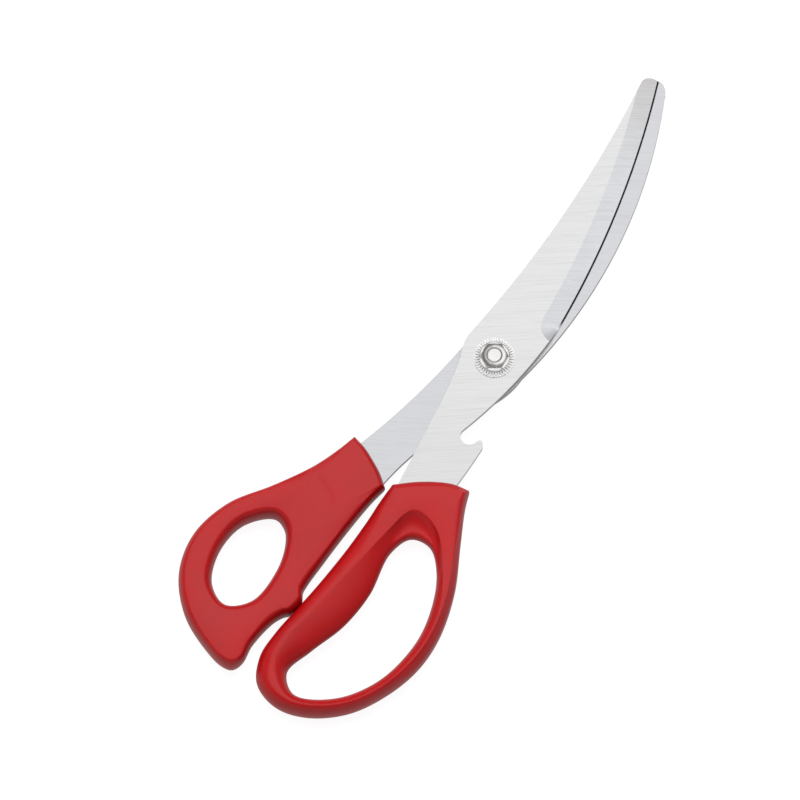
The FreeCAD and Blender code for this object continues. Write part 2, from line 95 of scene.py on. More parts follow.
# %% Smooth curves
def smooth_curve(points, closed=False, steps=24):
    """Points along a centripetal Catmull-Rom curve through the given points."""
    p = np.array(points, float)
    if closed:
        p = np.vstack([p[-1], p, p[0], p[1]])
    else:
        p = np.vstack([2 * p[0] - p[1], p, 2 * p[-1] - p[-2]])
    out = []
    for a, b, c, d in zip(p, p[1:], p[2:], p[3:]):
        t = np.cumsum([0, *(np.linalg.norm(v) ** 0.5 for v in (b - a, c - b, d - c))])
        for s in np.linspace(t[1], t[2], steps, endpoint=False):
            ab = a + (b - a) * (s - t[0]) / (t[1] - t[0])
            bc = b + (c - b) * (s - t[1]) / (t[2] - t[1])
            cd = c + (d - c) * (s - t[2]) / (t[3] - t[2])
            abc = ab + (bc - ab) * (s - t[0]) / (t[2] - t[0])
            bcd = bc + (cd - bc) * (s - t[1]) / (t[3] - t[1])
            out.append(abc + (bcd - abc) * (s - t[1]) / (t[2] - t[1]))
    out.append(p[-2])
    return np.array(out)


circle = smooth_curve([(1, 0), (0, 1), (-1, 0), (0, -1)], closed=True)
print(f"a loop through a circle's four quarters has {len(circle)} points")

# %% [markdown]
# A few measures along such a path follow: how long it is, where a given length lies on it, which place
# on it is nearest to a point, how far points lie from it, and where a section first crosses it.

# %% Measures along a path
def lengths(path):
    """Distance along a path at each of its points."""
    return np.concatenate([[0], np.cumsum(np.linalg.norm(np.diff(path, axis=0), axis=1))])


def at_length(path, where):
    """Points of a path at the given distances along it."""
    run = lengths(path)
    return np.stack([np.interp(where, run, path[:, i]) for i in (0, 1)], axis=1)


def nearest_length(path, point):
    """How far along a path its nearest point to the given one lies."""
    return lengths(path)[np.argmin(np.linalg.norm(path - np.array(point), axis=1))]


def distance_to(points, path):
    """Distance from each point to a path, measured to its straight pieces."""
    a, ab = path[:-1], np.diff(path, axis=0)
    out = np.empty(len(points))
    for i, p in enumerate(points):
        t = np.clip(np.sum((p - a) * ab, axis=1) / np.maximum(np.sum(ab * ab, axis=1), 1e-12), 0, 1)
        out[i] = np.min(np.linalg.norm(p - a - ab * t[:, None], axis=1))
    return out


NEAREST_CREST, FURTHEST_CREST = 0.02, 0.9  # shares of a section between which its crest stays


def crossing(inner, outer, path):
    """How far from inner to outer, 0 to 1, a section first crosses a path."""
    a, d, s = path[:-1], np.diff(path, axis=0), outer - inner
    turn = d[:, 0] * s[1] - d[:, 1] * s[0]
    turn = np.where(np.abs(turn) < 1e-9, 1e-9, turn)
    gap = inner - a
    along_path = (gap[:, 0] * s[1] - gap[:, 1] * s[0]) / turn
    along_section = (gap[:, 0] * d[:, 1] - gap[:, 1] * d[:, 0]) / turn
    hits = along_section[(along_path >= 0) & (along_path <= 1) & (along_section > NEAREST_CREST)]
    return min(hits.min() if len(hits) else 0.5, FURTHEST_CREST)


print(f"the circle is {lengths(circle)[-1]:.2f} round, {math.tau:.2f} if it were exact")

# %% [markdown]
# ## How a handle is made
#
# A handle is a ring round a finger loop, so it starts as a torus, which already has the right topology:
# closed sections, one after another, round a hole. Spokes say which point of the loop faces which point
# of the outline, and each section of the torus is laid along its own spoke. On the top, a section climbs
# from the loop to a crest line, crosses a gently crowned flat, and falls over the outer edge. The crest
# is drawn as a curve of its own, so that a row of mesh edges follows it and it can be crisp. Sculpting,
# or a subdivided cage with creases, could give this shape too, but neither keeps the outline exactly on
# the frame's, and this way does.
#
# Two profiles meet at the crest. A quarter of an ellipse is soft, like a tube. A cove is a rounded lip
# and then a hollow that climbs ever more steeply, as where the index finger lies. Outside, the quarter
# ellipse gives way to a slanted face with a crease above it where a strand has one. The steps along
# a profile are closer together where it is steep and beside the crest, as edge loops would be by hand.

# %% Profiles of a section
INNER_STEPS = [0, 0.012, 0.045, 0.1, 0.17, 0.26, 0.36, 0.47, 0.59, 0.71, 0.82, 0.91, 0.97, 1.0]
FLAT_STEPS = [0.04, 0.12, 0.26, 0.42, 0.58, 0.74, 0.88, 0.96]
FRONT_ROUND, SIDE_ROUND = 0.7, 3.2  # millimetres of rounding behind the front, and at most beside a side
LIP_WIDTH, LIP_HEIGHT, COVE_POWER = 0.2, 0.5, 2.3  # the cove's lip, and how much steeper its hollow grows
WALL_WIDTH, WALL_HEIGHT = 0.1, 0.48  # the wall under the slanted face
CROWN_SLOPE, WIDE_FLAT = 0.12, 7.0  # the crown's slope at its sides, reached on a flat this wide
CROWN_CUT = 0.06  # share that is cut off a rounding, so that it still climbs where it meets the crown


def tube(share, power=2.0):
    """Height of a quarter ellipse, 0 to 1, at a share of its width. A smaller power slopes more."""
    return np.sqrt(np.clip(1 - (1 - np.clip(share, 0, 1)) ** power, 0, 1))


def cove(share):
    """Height of a rounded lip and then a hollow."""
    beyond = np.clip((share - LIP_WIDTH) / (1 - LIP_WIDTH), 0, 1)
    return np.where(share < LIP_WIDTH, LIP_HEIGHT * tube(share / LIP_WIDTH),
                    LIP_HEIGHT + (1 - LIP_HEIGHT) * beyond ** COVE_POWER)


def slant(share):
    """Height of a low rounded wall and then a slanted face."""
    beyond = np.clip((share - WALL_WIDTH) / (1 - WALL_WIDTH), 0, 1)
    return np.where(share < WALL_WIDTH, WALL_HEIGHT * tube(share / WALL_WIDTH),
                    WALL_HEIGHT + (1 - WALL_HEIGHT) * beyond)


def eased(where, stations, values):
    """Values given at stations, eased from one to the next."""
    k = np.clip(np.searchsorted(stations, where, side="right") - 1, 0, len(stations) - 2)
    t = (where - stations[k]) / np.maximum(stations[k + 1] - stations[k], 1e-9)
    return values[k] + (values[k + 1] - values[k]) * (t * t * (3 - 2 * t))[:, None]


print("heights half way:", ", ".join(f"{f(np.array(0.5)):.2f}" for f in (tube, cove, slant)))

# %% [markdown]
# ### Where the sections stand
#
# The sections are spread evenly along the outline, but closer together at small shapes such as the stop
# nub or the corners of the collar, as extra edge loops would be added there by hand.

# %% Places of the sections
CLOSE_UP = 3.5  # sections at a small shape are 1 + this times as dense as elsewhere
CORNER_REACH = 2.5  # how far from a corner of the collar they are closer together, in millimetres


def ring_places(total, close_ups, rings):
    """Distances along an outline for its sections, closer together round the close-ups."""
    fine = np.linspace(0, total, 4000)
    weight = np.ones_like(fine)
    for place, reach in close_ups:
        away = np.minimum(np.abs(fine - place), total - np.abs(fine - place))
        weight += CLOSE_UP * np.exp(-(away / reach) ** 2)
    share = np.cumsum(weight)
    return np.interp(np.linspace(0, share[-1], rings, endpoint=False), share, fine)


print("five places on 10 mm:", ", ".join(f"{p:.1f}" for p in ring_places(10, [(0, 1)], 5)))

# %% [markdown]
# ### The plan of a handle
#
# The plan joins what is drawn: the side and the front of the outline, the loop, the crest and the
# spokes. For each section it gives both ends, where the crest crosses it, and the traits eased from the
# spokes on either side.

# %% Plan of a handle
def handle_plan(sides, front, loop, crest, spokes, close_ups, rings):
    """Inner and outer end, crest place, and traits of every section of a handle."""
    side_path, front_path = smooth_curve(sides), smooth_curve(front)
    loop_path = smooth_curve(loop, closed=True)
    start = np.argmin(np.linalg.norm(loop_path - np.array(spokes[0][1]), axis=1))
    loop_path = np.vstack([loop_path[start:-1], loop_path[:start + 1]])
    outline = np.vstack([side_path, front_path[1:]])
    total = lengths(outline)[-1]
    outer_at = np.array([nearest_length(side_path, spoke[0]) for spoke in spokes] + [total])
    inner_at = np.array([nearest_length(loop_path[:-1], spoke[1]) for spoke in spokes]
                        + [lengths(loop_path)[-1]])
    traits = np.array([spoke[2:] for spoke in spokes] + [spokes[0][2:]], float)
    places = [(nearest_length(side_path, spot), reach) for *spot, reach in close_ups]
    where = ring_places(total, [(0, CORNER_REACH), (lengths(side_path)[-1], CORNER_REACH), *places], rings)
    outer = at_length(outline, where)
    inner = at_length(loop_path, np.interp(where, outer_at, inner_at))
    crest_path = smooth_curve(crest, closed=True)
    crest_at = np.array([crossing(a, b, crest_path) for a, b in zip(inner, outer)])
    return inner, outer, crest_at, eased(where, outer_at, traits), side_path, front_path


print("a plan holds both ends, the crest's place and the traits of each section")

# %% [markdown]
# ### The rows of a handle
#
# Each row runs once round the handle, at the same step of every section's profile. The underside repeats
# the top, as on a moulding whose parting line lies half way up.

# %% Rows of a handle
SMALLEST_FLAT = 0.03  # share of a section that stays between its crest and its outer rounding


def handle_rows(plan, crown):
    """Rows of (place, height) that run round the handle, from the loop over the top and back underneath.

    The crown's slope goes on into the roundings on both sides of it, so that no ridge shows there.
    """
    inner, outer, crest_at, traits, side_path, front_path = plan
    outer_round, hollow, slanted, power = traits.T
    width = np.linalg.norm(outer - inner, axis=1)
    edge_at = np.maximum(1 - outer_round / width, crest_at + SMALLEST_FLAT)
    flat = (edge_at - crest_at) * width
    bulge = np.minimum(CROWN_SLOPE / 4 * flat * np.minimum(1, flat / WIDE_FLAT), crown) / HALF
    cut = 1 - CROWN_CUT * np.minimum(1, flat / WIDE_FLAT)

    def rounding(step, power):
        return tube(step * cut, power) / tube(cut, power)

    shares = []
    for step in INNER_STEPS:
        soft = rounding(step, power)
        shares.append((crest_at * step, soft + (cove(step) - soft) * hollow))
    for step in FLAT_STEPS:
        shares.append((crest_at + (edge_at - crest_at) * step, 1 + bulge * 4 * step * (1 - step)))
    for step in INNER_STEPS[::-1]:
        soft = rounding(step, 2.0)
        shares.append((1 - (1 - edge_at) * step, soft + (slant(step) - soft) * slanted))
    top = []
    for share, height in shares:
        place = inner + (outer - inner) * share[:, None]
        from_side = distance_to(place, side_path) / np.minimum(outer_round, SIDE_ROUND)
        from_front = distance_to(place, front_path) / FRONT_ROUND
        height = np.minimum(height, tube(np.minimum(from_side, from_front)) * (1 + bulge))
        top.append((place, height / (1 + bulge.max()) * HALF))
    under = [(place, -height) for place, height in top[-2:0:-1]]
    return top + under


print(f"{2 * (2 * len(INNER_STEPS) + len(FLAT_STEPS)) - 2} rows, over the top and back underneath")

# %% [markdown]
# ### The mesh of a handle
#
# A torus is added with as many sections and rows as the plan has, and its vertices are moved to their
# places. Moving them doesn't say which side is out, so the normals are worked out again at the end. Faces
# that meet at more than the crease angle stay crisp, and all others are shaded smooth.

# %% Mesh of a handle
CREASE = 38  # degrees


def face_outwards(piece):
    """Turns every face of a closed piece outwards."""
    mesh = bmesh.new()
    mesh.from_mesh(piece.data)
    bmesh.ops.recalc_face_normals(mesh, faces=mesh.faces)
    mesh.to_mesh(piece.data)
    mesh.free()


def make_handle(name, plan, crown):
    """A torus whose sections are laid on the plan's spokes."""
    rows = handle_rows(plan, crown)
    rings = len(plan[0])
    bpy.ops.mesh.primitive_torus_add(major_segments=rings, minor_segments=len(rows), major_radius=0.05,
                                     minor_radius=0.01)
    handle = bpy.context.object
    handle.name = name
    for j, (place, height) in enumerate(rows):
        for k in range(rings):
            spot = Vector((*place[k], MIDDLE + height[k]))
            handle.data.vertices[k * len(rows) + j].co = spot * MM
    face_outwards(handle)
    bpy.ops.object.select_all(action="DESELECT")
    handle.select_set(True)
    bpy.ops.object.shade_smooth_by_angle(angle=math.radians(CREASE))
    handle.select_set(False)
    print(f"{name}: {rings} sections of {len(rows)} points, {len(handle.data.polygons)} faces")
    return handle


print(f"faces that meet at over {CREASE} degrees stay crisp")

# %% [markdown]
# ## Thumb handle
#
# The thumb handle is a broad plate with an oval loop and a tail, and its neck clasps the lower blade's
# tang. On its right side a small nub stands out: it is the stop that the other handle meets when the
# shears close. Its outline is drawn clockwise from the front corner beside the other handle.

# %% Thumb handle
THUMB_SIDES = [(-13.8, -63.5), (-15.9, -70.2), (-19, -85.2), (-21.3, -99.3), (-22.8, -109.5),
               (-22.9, -113.6), (-21.9, -116), (-21.5, -117.3), (-22.6, -121.6), (-23.6, -123.4),
               (-25.2, -124.8), (-27.8, -129.2), (-30.7, -140), (-30.9, -147.8), (-33.3, -151.9),
               (-37.6, -152.4), (-45.8, -149.4), (-58.3, -141.4), (-67.8, -127.8), (-69.8, -112),
               (-63.8, -95.6), (-51.5, -81.3), (-41.6, -68.3), (-36.2, -58.4), (-32.9, -50.8)]
THUMB_FRONT = [(-32.9, -50.8), (-27.5, -53), (-22.6, -56), (-17.9, -59.4), (-13.8, -63.5)]
THUMB_LOOP = [(-45.6, -92.4), (-40.2, -94.8), (-37, -100.8), (-35.6, -111.3), (-38.5, -125.2),
              (-46.8, -131), (-54.9, -125.7), (-58.1, -113.2), (-54.8, -100)]
THUMB_CREST = [(-46.2, -89.8), (-38.9, -92.2), (-34.9, -99.4), (-32.8, -111.1), (-35.6, -126.8),
               (-46.5, -134), (-57.3, -127.9), (-61, -113.2), (-57.5, -98.6)]
# Each spoke: a point of the outline, a point of the loop, then the width of the outer rounding in
# millimetres, how hollow the loop's side is, how slanted the outer side is, and the power of the loop's
# side, which is 2 on an ellipse and less where that side falls more evenly.
THUMB_SPOKES = [
    ((-13.8, -63.5), (-38.6, -96.4), 2.2, 0, 0, 2),
    ((-19, -85.2), (-36.8, -101.4), 2.4, 0, 0, 2),
    ((-22.8, -109.5), (-35.6, -111.3), 2.3, 0, 0, 2),
    ((-22.6, -121.6), (-36.6, -120), 1.8, 0, 0, 2),
    ((-27.8, -129.2), (-38.5, -125.2), 2.2, 0, 0, 2),
    ((-37.6, -152.4), (-44.2, -130.6), 2.2, 0, 0, 2),
    ((-58.3, -141.4), (-52, -129.2), 2.5, 0, 0, 2),
    ((-69.8, -112), (-58.1, -113.2), 2.5, 0, 0, 2),
    ((-63.8, -95.6), (-54.8, -100), 2.5, 0, 0, 2),
    ((-41.6, -68.3), (-47.8, -92.6), 2.3, 0, 0, 2),
    ((-32.9, -50.8), (-42.2, -93.2), 2.2, 0, 0, 2),
]
thumb_plan = handle_plan(THUMB_SIDES, THUMB_FRONT, THUMB_LOOP, THUMB_CREST, THUMB_SPOKES,
                         [(-22.3, -119, 7.0)], 250)
thumb_grip = make_handle("thumb_grip", thumb_plan, 0.7)
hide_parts("thumb_handle")
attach(thumb_grip, "lower_half")

# %% [markdown]
# ## Finger handle
#
# The finger handle is a long loop for three or four fingers. The index finger lies in a hollow under
# the collar, which starts at a crisp arch. The strand beside the thumb handle is thick and tube-like,
# with its crest near the outside, and the other strand is thin, with a crease along its top. The
# outline is drawn anticlockwise this time, and its loop too.

# %% Finger handle
FINGER_SIDES = [(-12, -61.2), (-13.2, -69.4), (-14.1, -78.4), (-16.1, -92.3), (-19.2, -108), (-22.3, -120.8),
                (-25.2, -132.7), (-26.2, -143), (-22.4, -153), (-12.5, -157.8), (0, -156), (13.3, -147.7),
                (22.8, -135.2), (28.9, -120.8), (30.5, -106.4), (27.8, -88.4), (21.4, -70.8), (16.6, -57.4),
                (15, -50.6)]
FINGER_FRONT = [(15, -50.6), (8.3, -51), (2, -53.1), (-4.5, -56.3), (-12, -61.2)]
FINGER_LOOP = [(-0.7, -85.2), (-0.3, -103), (-3.4, -118.3), (-10, -132.6), (-14.3, -144), (-7.9, -150.7),
               (6.5, -145), (18, -131.2), (23.4, -112.9), (22.7, -98.2), (18.3, -84.7), (11.4, -76.5),
               (3.6, -76.8)]
FINGER_CREST = [(-3.9, -76), (-5.6, -82), (-7.8, -89.5), (-10.2, -98), (-12.9, -108), (-16.2, -120.5),
                (-19.8, -132), (-19.8, -144), (-9.6, -154), (8.6, -148.4), (21, -134), (26.9, -113),
                (26.7, -102), (25, -94), (21.5, -85.7), (16.8, -77.3), (13, -72.2), (8.6, -68.8),
                (3.8, -67.2), (-0.2, -68), (-2.6, -71.6)]
FINGER_SPOKES = [
    ((-12, -61.2), (1.9, -78.4), 3.2, 1, 0, 1.8),
    ((-13.2, -69.4), (0.3, -80.4), 4.2, 0.85, 0, 1.4),
    ((-14.1, -78.4), (-0.7, -85.2), 5.5, 0.3, 0, 1.25),
    ((-16.1, -92.3), (-0.5, -95), 7.0, 0.05, 0, 1.15),
    ((-22.3, -120.8), (-4.2, -120.5), 7.5, 0, 0, 1.2),
    ((-26.2, -143), (-14.3, -144), 6.0, 0, 0, 1.45),
    ((-12.5, -157.8), (-7.9, -150.7), 4.4, 0, 0, 1.7),
    ((13.3, -147.7), (6.5, -145), 4.4, 0, 0.2, 1.7),
    ((28.9, -120.8), (21.6, -122.3), 3.2, 0, 0.6, 1.7),
    ((27.8, -88.4), (21.2, -91.6), 2.6, 0.1, 0.9, 1.6),
    ((21.4, -70.8), (16.1, -81.4), 2.6, 0.6, 1, 1.6),
    ((15, -50.6), (9.4, -76), 2.6, 1, 1, 1.8),
]
finger_plan = handle_plan(FINGER_SIDES, FINGER_FRONT, FINGER_LOOP, FINGER_CREST, FINGER_SPOKES,
                          [], 250)
finger_grip = make_handle("finger_grip", finger_plan, 0.35)
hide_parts("finger_handle")
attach(finger_grip, "upper_half")

# %% [markdown]
# ## Nut
#
# The nut is a hexagon with a flange, pressed and then plated. Its top is turned to a shallow cone, which
# cuts the hexagon's corners back in curves. A cylinder of six sides with a boolean cone would do, but
# its flange and the small fillets would need more cuts. A torus gives them all: its sections are alike,
# except that their radius is limited by the hexagon where the section passes its sides. Its corners are
# turned as the frame's nut is.

# %% Nut
nut_mesh = np.array([v.co for v in nodes["pivot_nut"].data.vertices]) / MM
nut_height = nut_high.z / MM - nut_low.z / MM
above = nut_mesh[nut_mesh[:, 2] > nut_low.z / MM + 0.4 * nut_height]
corner = above[np.argmax(np.hypot(above[:, 0], above[:, 1]))]
CORNER_TURN = math.atan2(corner[1], corner[0])
CORNER_RADIUS = math.hypot(corner[0], corner[1])
HOLE = np.hypot(nut_mesh[:, 0], nut_mesh[:, 1]).min() + 0.02
FLANGE = np.hypot(nut_mesh[:, 0], nut_mesh[:, 1]).max()
NUT_DRAWN_HEIGHT = 2.6  # the height that the rows below are drawn for
HEX_SIDE = 5.33  # just beyond the corners, so that the hexagon alone says how far the row reaches
CORNER_HALF = math.pi / 6  # half of the angle between two corners
NUT_CREASE = 30  # degrees
# Rows of a section: radius, height above the nut's underside, and 1 where the hexagon limits the radius.
NUT_ROWS = [(HOLE, 0, 0), (HOLE, 2.2, 0), (2.9, 2.46, 0), (3.1, 2.57, 0), (3.5, 2.52, 0), (4.0, 2.39, 0),
            (4.35, 2.27, 0), (4.6, 2.16, 1), (4.85, 2.03, 1), (5.1, 1.88, 1), (5.25, 1.77, 1),
            (5.31, 1.68, 1), (HEX_SIDE, 1.3, 1), (HEX_SIDE, 0.9, 1), (5.45, 0.74, 1), (5.55, 0.68, 0),
            (5.68, 0.56, 0), (FLANGE, 0.4, 0), (FLANGE, 0.12, 0), (5.7, 0, 0), (4.3, 0, 0)]
SEGMENTS = 192
bpy.ops.mesh.primitive_torus_add(major_segments=SEGMENTS, minor_segments=len(NUT_ROWS), major_radius=0.004,
                                 minor_radius=0.001)
nut = bpy.context.object
nut.name = "flanged_nut"
for k in range(SEGMENTS):
    turn = 2 * math.pi * k / SEGMENTS
    off_corner = (turn - CORNER_TURN + CORNER_HALF) % (2 * CORNER_HALF) - CORNER_HALF
    side = CORNER_RADIUS * math.cos(CORNER_HALF) / math.cos(CORNER_HALF - abs(off_corner))
    for j, (radius, height, hexagonal) in enumerate(NUT_ROWS):
        fillet = max(0, radius - HEX_SIDE)
        reach = min(radius, side + fillet) if hexagonal else radius
        z = nut_low.z / MM + height * nut_height / NUT_DRAWN_HEIGHT
        spot = Vector((reach * math.cos(turn), reach * math.sin(turn), z))
        nut.data.vertices[k * len(NUT_ROWS) + j].co = spot * MM
face_outwards(nut)
nut.select_set(True)
bpy.ops.object.shade_smooth_by_angle(angle=math.radians(NUT_CREASE))
nut.select_set(False)
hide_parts("pivot_nut")
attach(nut, "lower_half")
print(f"nut {2 * CORNER_RADIUS:.1f} mm wide, turned {math.degrees(CORNER_TURN) % 60:.1f} degrees")

# %% [markdown]
# ## Finishes
#
# Each finish is a small tree of nodes. All of them work in the piece's own space, so that the marks
# stay on the piece as it turns. The nodes could be placed in the shader editor. Here short helpers add a
# node, link or set what goes into it, and give back what comes out.

# %% Node helpers
def add_node(tree, kind, inputs=None, **settings):
    """Adds a node, sets its options, and links or sets its inputs."""
    made = tree.nodes.new(kind)
    for key, value in settings.items():
        setattr(made, key, value)
    for key, value in (inputs or {}).items():
        if isinstance(value, bpy.types.NodeSocket):
            tree.links.new(value, made.inputs[key])
        else:
            made.inputs[key].default_value = value
    return made


def calc(tree, operation, a, b=0.0):
    """Calculates with one or two numbers."""
    return add_node(tree, "ShaderNodeMath", {0: a, 1: b}, operation=operation).outputs[0]


def fade(tree, value, low, high, to_low=0.0, to_high=1.0):
    """Maps a value to a range with soft ends."""
    inputs = {"Value": value, "From Min": low, "From Max": high, "To Min": to_low, "To Max": to_high}
    return add_node(tree, "ShaderNodeMapRange", inputs, interpolation_type="SMOOTHSTEP").outputs[0]


def blend(tree, factor, a, b):
    """Blends two colours."""
    inputs = {0: factor, 6: a, 7: b}
    return add_node(tree, "ShaderNodeMix", inputs, data_type="RGBA").outputs[2]


print("helpers: add_node, calc, fade, blend")

# %% [markdown]
# ### Node groups
#
# What several finishes share is a group with named sockets, built once. One gives slow clouds of a
# chosen size. One gives fine strokes along a chosen direction, as a brush or a grinding wheel leaves
# them, with a bump. One tells the upright side walls of a piece from its faces.

# %% Making and using groups
def new_group(name, inputs, outputs):
    """An empty group, what it is given, and what it gives."""
    tree = bpy.data.node_groups.new(name, "ShaderNodeTree")
    for socket, kind, value in inputs:
        made = tree.interface.new_socket(socket, in_out="INPUT", socket_type=kind)
        if value is not None:
            made.default_value = value
    for socket, kind in outputs:
        tree.interface.new_socket(socket, in_out="OUTPUT", socket_type=kind)
    return tree, tree.nodes.new("NodeGroupInput").outputs, tree.nodes.new("NodeGroupOutput").inputs


def use_group(tree, group, **inputs):
    """Places a group with values of its own, and gives its outputs."""
    made = add_node(tree, "ShaderNodeGroup", node_tree=group)
    for key, value in inputs.items():
        if isinstance(value, bpy.types.NodeSocket):
            tree.links.new(value, made.inputs[key])
        else:
            made.inputs[key].default_value = value
    return made.outputs


print("a group is made once and used by many finishes")

# %% The three groups
FLOAT, VECTOR = "NodeSocketFloat", "NodeSocketVector"
cloudy, given, result = new_group("cloudy", [("Scale", FLOAT, 40)], [("Value", FLOAT)])
coordinate = add_node(cloudy, "ShaderNodeTexCoord").outputs["Object"]
noise = add_node(cloudy, "ShaderNodeTexNoise", {"Vector": coordinate, "Scale": given["Scale"], "Detail": 3})
cloudy.links.new(fade(cloudy, noise.outputs[0], 0.3, 0.7), result["Value"])

STROKE_STRETCH = (60, 2600, 60)  # cycles per metre along, across and through the strokes
stroke_inputs = [("Vector", VECTOR, None), ("Angle", FLOAT, 0), ("Depth", FLOAT, 0.1)]
strokes, given, result = new_group("strokes", stroke_inputs, [("Value", FLOAT), ("Normal", VECTOR)])
turned = add_node(strokes, "ShaderNodeVectorRotate", {"Vector": given["Vector"], "Angle": given["Angle"]},
                  rotation_type="Z_AXIS").outputs[0]
drawn_out = add_node(strokes, "ShaderNodeVectorMath", {0: turned, 1: STROKE_STRETCH}, operation="MULTIPLY")
noise = add_node(strokes, "ShaderNodeTexNoise", {"Vector": drawn_out.outputs[0], "Scale": 1, "Detail": 4})
strokes.links.new(fade(strokes, noise.outputs[0], 0.25, 0.75), result["Value"])
bump = add_node(strokes, "ShaderNodeBump", {"Strength": given["Depth"], "Distance": 0.00002,
                                            "Height": noise.outputs[0]})
strokes.links.new(bump.outputs[0], result["Normal"])

side_wall, given, result = new_group("side_wall", [], [("Mask", FLOAT)])
normal = add_node(side_wall, "ShaderNodeNewGeometry").outputs["Normal"]
upright = calc(side_wall, "ABSOLUTE", add_node(side_wall, "ShaderNodeSeparateXYZ", {0: normal}).outputs[2])
side_wall.links.new(fade(side_wall, upright, 0.35, 0.6, 1, 0), result["Mask"])
print("node groups:", ", ".join(g.name for g in bpy.data.node_groups))

# %% [markdown]
# ### Blade steel
#
# The blades are stamped from sheet, ground flat and brushed. Fine strokes run across them. The punched
# side walls are rougher than the faces, and they are painted darker too, as painted shade. An image of
# brushed metal would slide or repeat, so the strokes are noise, drawn out along one direction. They
# change the colour, the roughness and, very slightly, the slope. The lower blade is a little greyer and
# bluer, with stronger strokes.

# %% Blade steel
# Painted shade: the upright side walls of the blades are darkened to this colour.
SIDE_WALL_SHADE = (0.33, 0.32, 0.31, 1)


def start_material(name, metallic):
    made = bpy.data.materials.new(name)
    made.use_nodes = True
    tree = made.node_tree
    shader = tree.nodes["Principled BSDF"]
    shader.inputs["Metallic"].default_value = metallic
    return made, tree, shader


def brushed_steel(name, tone, stroke_angle, contrast, depth):
    """Brushed sheet with painted shade on its side walls. Gives the material, its tree, shader and colour.
    """
    made, tree, shader = start_material(name, 1.0)
    place = add_node(tree, "ShaderNodeTexCoord").outputs["Object"]
    brushed = use_group(tree, strokes, Vector=place, Angle=math.radians(stroke_angle), Depth=depth)
    clouds = use_group(tree, cloudy, Scale=55.0)["Value"]
    fine = use_group(tree, cloudy, Scale=420.0)["Value"]
    light = [*(min(1, c * (1 + contrast)) for c in tone), 1]
    dark = [*(c * (1 - contrast) for c in tone), 1]
    blotches = calc(tree, "ADD", calc(tree, "MULTIPLY", clouds, 0.35), calc(tree, "MULTIPLY", fine, 0.15))
    level = calc(tree, "ADD", calc(tree, "MULTIPLY", brushed["Value"], 0.5), blotches)
    color = blend(tree, level, dark, light)
    walls = use_group(tree, side_wall)["Mask"]
    # Painted shade on the side walls. The same mask also makes them rougher.
    color = blend(tree, walls, color, SIDE_WALL_SHADE)
    rough = fade(tree, calc(tree, "ADD", brushed["Value"], walls), 0, 2, 0.25, 0.42)
    tree.links.new(rough, shader.inputs["Roughness"])
    tree.links.new(brushed["Normal"], shader.inputs["Normal"])
    return made, tree, shader, color


LOWER_TONE, UPPER_TONE = (0.72, 0.725, 0.75), (0.835, 0.835, 0.838)
lower_steel, tree, shader, color = brushed_steel("lower_steel", LOWER_TONE, -24, 0.035, 0.08)
tree.links.new(color, shader.inputs["Base Color"])
print("lower blade:", lower_steel.name)

# %% [markdown]
# The upper blade has a ground facet along its edge. The wheel leaves marks across it, which are drawn
# here in polar coordinates round the cutting edge's centre, so that they turn with its curve. The facet
# is told from the flat by its tilt. Its colour is a painted reflection: it is lighter and a little bluer
# than the flat, because its tilt turns it to a dimmer part of the sky. Towards the tip it is greyer.
# Such an edge would be honed to a narrow second bevel, which the frame doesn't have. Its dark reflection
# and the shade beside it are painted as a dark line, about 0.6 mm wide. The tang is a little darker than
# the blade.

# %% Upper blade's steel
EDGE_RADIUS = 363.7 * MM
EDGE_CENTRE = Vector((16.7 * MM - EDGE_RADIUS, 38.5 * MM, 0))
HEEL, TIP = 22 * MM, 125 * MM
# Painted shade and reflection: a near-black line this wide along the cutting edge, for a second bevel that
# isn't modelled.
EDGE_SHADE_WIDTH, EDGE_SHADE_FADE = 0.7 * MM, 0.15 * MM
TANG_SHARE = 0.5  # how far the tang goes towards its own colour
EDGE_SHADE_COLOR = (0.02, 0.02, 0.022, 1)
TANG_COLOR = (0.735, 0.735, 0.73, 1)
# Painted reflection: the facet is coloured lighter and bluer than the flat, since its tilt faces a dimmer
# part of the sky.
FACET_REFLECTION_MIDDLE, FACET_REFLECTION_TIP = (0.88, 0.897, 0.925, 1), (0.76, 0.745, 0.75, 1)
FACET_MARK = (0.45, 0.45, 0.46, 1)


def component(tree, vector, index):
    """One coordinate of a vector: 0 is x, 1 is y and 2 is z."""
    return add_node(tree, "ShaderNodeSeparateXYZ", {0: vector}).outputs[index]


def vector_calc(tree, operation, a, b):
    """Calculates with two vectors."""
    return add_node(tree, "ShaderNodeVectorMath", {0: a, 1: b}, operation=operation).outputs[0]


upper_steel, tree, shader, color = brushed_steel("upper_steel", UPPER_TONE, -30, 0.007, 0.012)
place = add_node(tree, "ShaderNodeTexCoord").outputs["Object"]
height = component(tree, place, 1)
print(f"the cutting edge's centre lies {-EDGE_CENTRE.x / MM:.0f} mm to the left of the pivot")

# %% Grinding marks
from_centre = vector_calc(tree, "SUBTRACT", place, EDGE_CENTRE)
flat_vector = vector_calc(tree, "MULTIPLY", from_centre, (1, 1, 0))
radius = add_node(tree, "ShaderNodeVectorMath", {0: flat_vector}, operation="LENGTH").outputs["Value"]
bearing = calc(tree, "ARCTAN2", component(tree, from_centre, 1), component(tree, from_centre, 0))
turn = calc(tree, "MULTIPLY", bearing, EDGE_RADIUS)
wheel_place = add_node(tree, "ShaderNodeCombineXYZ", {0: radius, 1: turn}).outputs[0]
wheel = use_group(tree, strokes, Vector=wheel_place, Angle=0.0, Depth=0.1)
facet_clouds = use_group(tree, cloudy, Scale=150.0)["Value"]
wheel_share = calc(tree, "MULTIPLY", wheel["Value"], 0.6)
cloud_share = calc(tree, "MULTIPLY", facet_clouds, 0.4)
facet_marks = fade(tree, calc(tree, "ADD", wheel_share, cloud_share), 0.1, 0.9, 0.0, 0.1)
print("marks run across the facet, along the radius of the edge")
